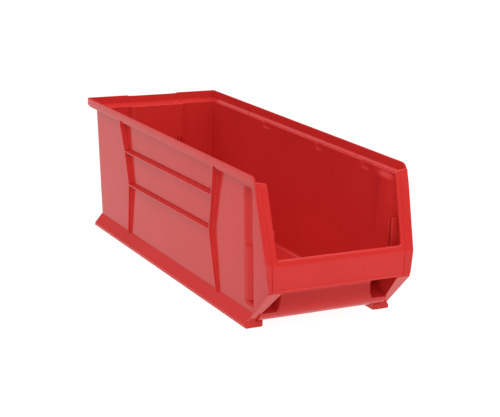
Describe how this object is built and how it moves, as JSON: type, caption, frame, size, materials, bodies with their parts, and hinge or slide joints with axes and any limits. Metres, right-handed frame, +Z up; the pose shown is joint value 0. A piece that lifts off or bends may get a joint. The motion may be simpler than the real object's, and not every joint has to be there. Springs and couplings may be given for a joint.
{
  "type": "hanging parts bin",
  "caption": "Long open-fronted stack-and-hang storage bin in red plastic, with a stacking rim, ribbed tapered sides, label lip and back hooks.",
  "frame": {"origin": "centre of the base on the surface that the bin stands on, midway along the overall length and width", "axes": "+Z up, +Y towards the back wall and its hang hooks, -Y towards the open front and its lip, +X to the right seen from the front"},
  "size_m": [0.2794, 0.7588, 0.254],
  "materials": {
    "bin_red": "smooth moulded polypropylene, semi-gloss, opaque red"
  },
  "bodies": {
    "root": {"back_center_panel": "bin_red", "back_center_rim": "bin_red", "back_stacking_ledge": "bin_red", "chin_panel": "bin_red", "floor_panel": "bin_red", "front_lip": "bin_red", "left_back_panel": "bin_red", "left_back_return": "bin_red", "left_back_rim": "bin_red", "left_base_runner": "bin_red", "left_base_skirt": "bin_red", "left_front_foot": "bin_red", "left_front_panel": "bin_red", "left_front_post": "bin_red", "left_front_rib": "bin_red", "left_front_window_rail": "bin_red", "left_gusset_strip": "bin_red", "left_hang_hook": "bin_red", "left_inner_back_rail": "bin_red", "left_lower_ledge_rib": "bin_red", "left_outer_back_rail": "bin_red", "left_pocket_back": "bin_red", "left_pocket_roof": "bin_red", "left_pocket_side": "bin_red", "left_rear_rib": "bin_red", "left_rear_window_rail": "bin_red", "left_side_rim": "bin_red", "left_side_wall": "bin_red", "left_stacking_ledge": "bin_red", "left_upper_ledge_rib": "bin_red", "left_window_channel": "bin_red", "mouth_shelf": "bin_red", "right_back_panel": "bin_red", "right_back_return": "bin_red", "right_back_rim": "bin_red", "right_base_runner": "bin_red", "right_base_skirt": "bin_red", "right_front_foot": "bin_red", "right_front_panel": "bin_red", "right_front_post": "bin_red", "right_front_rib": "bin_red", "right_front_window_rail": "bin_red", "right_gusset_strip": "bin_red", "right_hang_hook": "bin_red", "right_inner_back_rail": "bin_red", "right_lower_ledge_rib": "bin_red", "right_outer_back_rail": "bin_red", "right_pocket_back": "bin_red", "right_pocket_roof": "bin_red", "right_pocket_side": "bin_red", "right_rear_rib": "bin_red", "right_rear_window_rail": "bin_red", "right_side_rim": "bin_red", "right_side_wall": "bin_red", "right_stacking_ledge": "bin_red", "right_upper_ledge_rib": "bin_red", "right_window_channel": "bin_red"}
  },
  "joints": []
}
